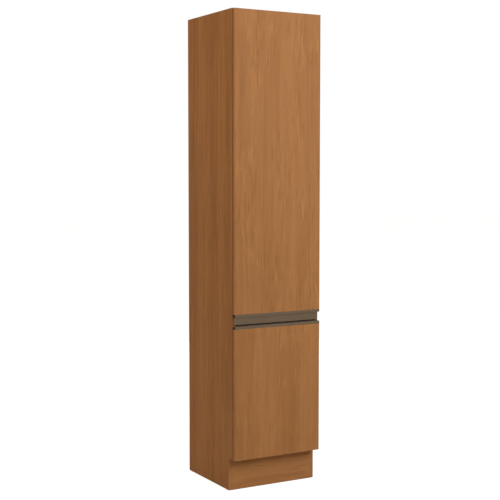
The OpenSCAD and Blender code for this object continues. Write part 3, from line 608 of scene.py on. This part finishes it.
GLIDE_R = 0.0065
GLIDE_H = 0.003
NAIL_R = 0.0015
black_plastic = plastic("black_polyethylene", "#1B1A19", "#262422", roughness=0.5,
                        finish={"IOR": 1.51})
glide_low, glide_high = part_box("foot_glides")
glide_profile = [(0.0, 0.0), (0.0, GLIDE_R - 0.0014), (0.0003, GLIDE_R - 0.0006),
                 (0.0010, GLIDE_R), (GLIDE_H, GLIDE_R), (GLIDE_H, NAIL_R),
                 (glide_high.z - 0.002, NAIL_R), (glide_high.z, 0.0)]
glide_seats = [((x, y, 0.0), (0, 0, 1)) for x in (glide_low.x + GLIDE_R, glide_high.x - GLIDE_R)
               for y in (glide_low.y + GLIDE_R, glide_high.y - GLIDE_R)]
glides = turned("foot_glides_turned", "carcass", black_plastic, glide_profile,
                glide_seats)
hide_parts("foot_glides")

# Hinges. Each concealed hinge has a stamped mounting plate on the side, an arm with a cranked neck
# and a pressed cup in the door's back, all of nickel-plated steel, and each is held by two
# zinc-plated screws.
HINGE_HEIGHTS = {"upper": (0.909, 1.28125, 1.62975, 2.058), "lower": (0.248, 0.642)}
SHEET_EDGE = 0.0002
hinge_zs = HINGE_HEIGHTS["upper"] + HINGE_HEIGHTS["lower"]
finish_node("hinge_mounting_plates", nickel, SHEET_EDGE)
finish_node("hinge_arms", nickel, SHEET_EDGE)

PLATE_FACE, PLATE_ROW, PLATE_STEP = 0.208, -0.173, 0.016
plate_seats = [((PLATE_FACE, PLATE_ROW, z + off), (-1, 0, 0))
               for z in hinge_zs for off in (-PLATE_STEP, PLATE_STEP)]
plate_screws = screws("hinge_plate_screws_turned", "carcass", plate_seats, head_r=0.0045,
                      head_t=0.002, shank_r=0.0025, shank_len=0.013, pitch=0.0014)
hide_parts("hinge_plate_screws")

ARM_FACE, ARM_ROWS = 0.1975, (-0.182, -0.162)
arm_seats = [((ARM_FACE, y, z), (-1, 0, 0)) for z in hinge_zs for y in ARM_ROWS]
arm_screws = screws("hinge_arm_screws_turned", "carcass", arm_seats, head_r=0.0034,
                    head_t=0.0014, shank_r=0.002, shank_len=0.0085, pitch=0.0009)
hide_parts("hinge_arm_screws")

CUP_X, CUP_FACE, CUP_STEP = 0.194, -0.2122, 0.024
for door in ("upper", "lower"):
    finish_node(f"{door}_hinge_cups", nickel, SHEET_EDGE)
    finish_node(f"{door}_cup_pins", nickel)
    cup_seats = [((CUP_X, CUP_FACE, z + off), (0, 1, 0))
                 for z in HINGE_HEIGHTS[door] for off in (-CUP_STEP, CUP_STEP)]
    cup_screws = screws(f"{door}_cup_screws_turned", f"{door}_door", cup_seats, head_r=0.0034,
                        head_t=0.0009, shank_r=0.0018, shank_len=0.0108, pitch=0.0012)
    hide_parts(f"{door}_cup_screws")

# Doors. Two 15 mm chipboard doors with the woodgrain print on both faces, its grain upright, cut
# one above the other so that their streaks don't meet, and banded on three edges.

# Where each door is cut from the print, and how calm its bands are.
DOOR_PRINTS = {"upper": ((1.484, 0.0, 0.0), 0.14), "lower": ((0.73, 0.21, 0.35), 0.155)}
for door, (shift, calm) in DOOR_PRINTS.items():
    door_low, door_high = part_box(f"{door}_door_panel")
    door_wood = woodgrain_board(f"woodgrain_melamine_{door}_door", 1, door_low.y, door_high.y,
                                shift, calm=calm)
    door_band = woodgrain_band(f"woodgrain_abs_{door}_door_bands", shift)
    finish_node(f"{door}_door_panel", door_wood, BOARD_EDGE)
    finish_node(f"{door}_door_edge_bands", door_band, BAND_EDGE)

# Pull profiles. Bronze anodised aluminium extrusions pressed into a saw cut along the doors' facing
# edges: a flush lip in front, and behind it a web that fills the hand's recess.


def anodised(name):
    """Satin bronze anodising. Lines drawn along X, 0.4 mm apart in the metal and drawn at 1.2 mm,
    move the roughness and the tone, and a slow cloud 200 mm long keeps long faces from looking
    flat."""
    material, place = start_material(name)
    where = place.outputs["Object"]
    drawn = add(material, "ShaderNodeVectorMath", {"operation": "MULTIPLY", 1: (9, 830, 830)},
                {0: where})
    lines = add(material, "ShaderNodeTexNoise", {"Scale": 1.0, "Detail": 3.0}, {"Vector": drawn})
    slow = add(material, "ShaderNodeTexNoise", {"Scale": 5.0, "Detail": 2.0}, {"Vector": where})
    mixed = add(material, "ShaderNodeMath", {"operation": "MULTIPLY_ADD", 1: 0.5},
                {0: slow, 2: lines})
    share = add(material, "ShaderNodeMapRange", {"From Min": 0.5, "From Max": 1.0},
                {"Value": mixed})
    colour = add(material, "ShaderNodeMix", {"data_type": "RGBA", 6: "#564738", 7: "#675644"},
                 {0: share})
    rough = add(material, "ShaderNodeMapRange", {"To Min": 0.36, "To Max": 0.5}, {"Value": lines})
    return close_material(material, colour.outputs[2], rough, lines, depth=0.00002,
                          finish={"Metallic": 1.0})


bronze = anodised("bronze_anodised_aluminium")
for door in ("upper", "lower"):
    finish_node(f"{door}_pull_profile", bronze, SHEET_EDGE)

# End caps. Dark brown ABS mouldings that plug the open ends of both profiles. They are matt, so
# they read as nearly black spots beside the metal.
brown_plastic = plastic("dark_brown_abs", "#120A06", "#1A0F08", roughness=0.6,
                        finish={"IOR": 1.54, "Specular IOR Level": 0.08})
for door in ("upper", "lower"):
    finish_node(f"{door}_pull_end_caps", brown_plastic, edge=0.0003)

# Buffers. Clear soft polyurethane domes stuck on the doors' back faces near their free edges. They
# are glossy, and the board behind shows through them.
BUFFER_R = 0.004
clear_soft = plastic("clear_polyurethane", "#E4E6E2", "#F1F2EF", roughness=0.18,
                     finish={"IOR": 1.5, "Transmission Weight": 0.9})
for door in ("upper", "lower"):
    buffer_low, buffer_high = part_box(f"{door}_door_buffers")
    bulge = buffer_high.y - buffer_low.y
    share = np.linspace(1, 0, 12)
    dome = np.stack([bulge * (0.3 + 0.7 * np.sqrt(1 - share ** 2.5)), BUFFER_R * share], 1)
    seats = [((buffer_low.x + BUFFER_R, buffer_low.y, z), (0, 1, 0))
             for z in (buffer_low.z + BUFFER_R, buffer_high.z - BUFFER_R)]
    buffers = turned(f"{door}_door_buffers_domed", f"{door}_door", clear_soft,
                     [(0.0, 0.0), (0.0, BUFFER_R), *dome.tolist()], seats)
    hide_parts(f"{door}_door_buffers")

# Floor, light and camera. A white studio: a seamless white floor, an even white surround, one large
# soft lamp in front and to the right, so the fronts are lighter than the left side, a warm one high
# on the left, and one behind for the rear.


def seen_ray(material):
    """1 for a ray of the camera, also after a gloss or a clear piece, and 0 for one that lights."""
    rays = add(material, "ShaderNodeLightPath")
    mirrored = add(material, "ShaderNodeMath", {"operation": "MAXIMUM"},
                   {0: rays.outputs["Is Camera Ray"], 1: rays.outputs["Is Glossy Ray"]})
    return add(material, "ShaderNodeMath", {"operation": "MAXIMUM"},
               {0: mirrored, 1: rays.outputs["Is Transmission Ray"]})


# The floor lights the cabinet as a warm grey paper, and the camera sees it glow up to white.
FLOOR_R = 30.0
FLOOR_PAPER = (0.48, 0.46, 0.425, 1.0)
FLOOR_SEEN = (0.62, 0.62, 0.62, 1.0)
FLOOR_GLOW = 0.785
WHITE = (1.0, 1.0, 1.0, 1.0)
floor_mesh = bpy.data.meshes.new("floor")
floor_mesh.from_pydata([(-FLOOR_R, -FLOOR_R, 0), (FLOOR_R, -FLOOR_R, 0), (FLOOR_R, FLOOR_R, 0),
                        (-FLOOR_R, FLOOR_R, 0)], [], [(0, 1, 2, 3)])
floor = bpy.data.objects.new("floor", floor_mesh)
bpy.context.scene.collection.objects.link(floor)
floor_white = start_material("white_studio_floor")[0]
paper = add(floor_white, "ShaderNodeBsdfDiffuse", {"Color": FLOOR_PAPER})
seen = add(floor_white, "ShaderNodeBsdfDiffuse", {"Color": FLOOR_SEEN})
glow = add(floor_white, "ShaderNodeEmission", {"Color": WHITE, "Strength": FLOOR_GLOW})
lit = add(floor_white, "ShaderNodeAddShader", links={0: seen, 1: glow})
either = add(floor_white, "ShaderNodeMixShader", links={0: seen_ray(floor_white), 1: paper, 2: lit})
add(floor_white, "ShaderNodeOutputMaterial", links={"Surface": either})
floor_mesh.materials.append(floor_white)

world = bpy.data.worlds.new("studio")
bpy.context.scene.world = world
world.use_nodes = True
world.node_tree.nodes.clear()
behind = add(world, "ShaderNodeBackground", {"Color": WHITE, "Strength": 1.0})
around = add(world, "ShaderNodeBackground", {"Color": (1.0, 0.99, 0.97, 1.0), "Strength": 0.35})
sky = add(world, "ShaderNodeMixShader", links={0: seen_ray(world), 1: around, 2: behind})
add(world, "ShaderNodeOutputWorld", links={"Surface": sky})


def soft_box(name, size, energy, colour, place, aim):
    """A square area lamp at a place, turned to face a point."""
    lamp = bpy.data.lights.new(name, "AREA")
    lamp.size = size
    lamp.energy = energy
    lamp.color = colour
    box = bpy.data.objects.new(name, lamp)
    bpy.context.scene.collection.objects.link(box)
    box.location = place
    x, y, z = np.array(aim) - np.array(place)
    box.rotation_euler = (math.atan2(math.hypot(x, y), -z), 0.0, math.atan2(-x, y))


soft_box("key", size=2.6, energy=166.0, colour=(0.815, 0.895, 1.0),
         place=(1.6, -3.6, 3.4), aim=(0.0, 0.0, 1.2))
soft_box("fill", size=2.0, energy=64.0, colour=(1.0, 0.84, 0.56),
         place=(-3.4, -1.4, 3.9), aim=(-0.2, 0.0, 1.9))
soft_box("rear", size=2.2, energy=60.0, colour=(1.0, 0.97, 0.93),
         place=(1.6, 3.9, 1.5), aim=(0.0, 0.0, 1.1))

CAMERA_PLACE = (-2.5413, -4.4775, 1.424)
CAMERA_YAW = 29.415
CAMERA_PITCH = -3.847
camera_data = bpy.data.cameras.new("camera")
camera_data.sensor_fit = "HORIZONTAL"
camera_data.sensor_width = 36.0
camera_data.lens = 78.931
camera = bpy.data.objects.new("camera", camera_data)
bpy.context.scene.collection.objects.link(camera)
camera.location = CAMERA_PLACE
camera.rotation_euler = (math.radians(90 + CAMERA_PITCH), 0.0, math.radians(-CAMERA_YAW))
bpy.context.scene.camera = camera
bpy.context.scene.view_settings.view_transform = "Standard"
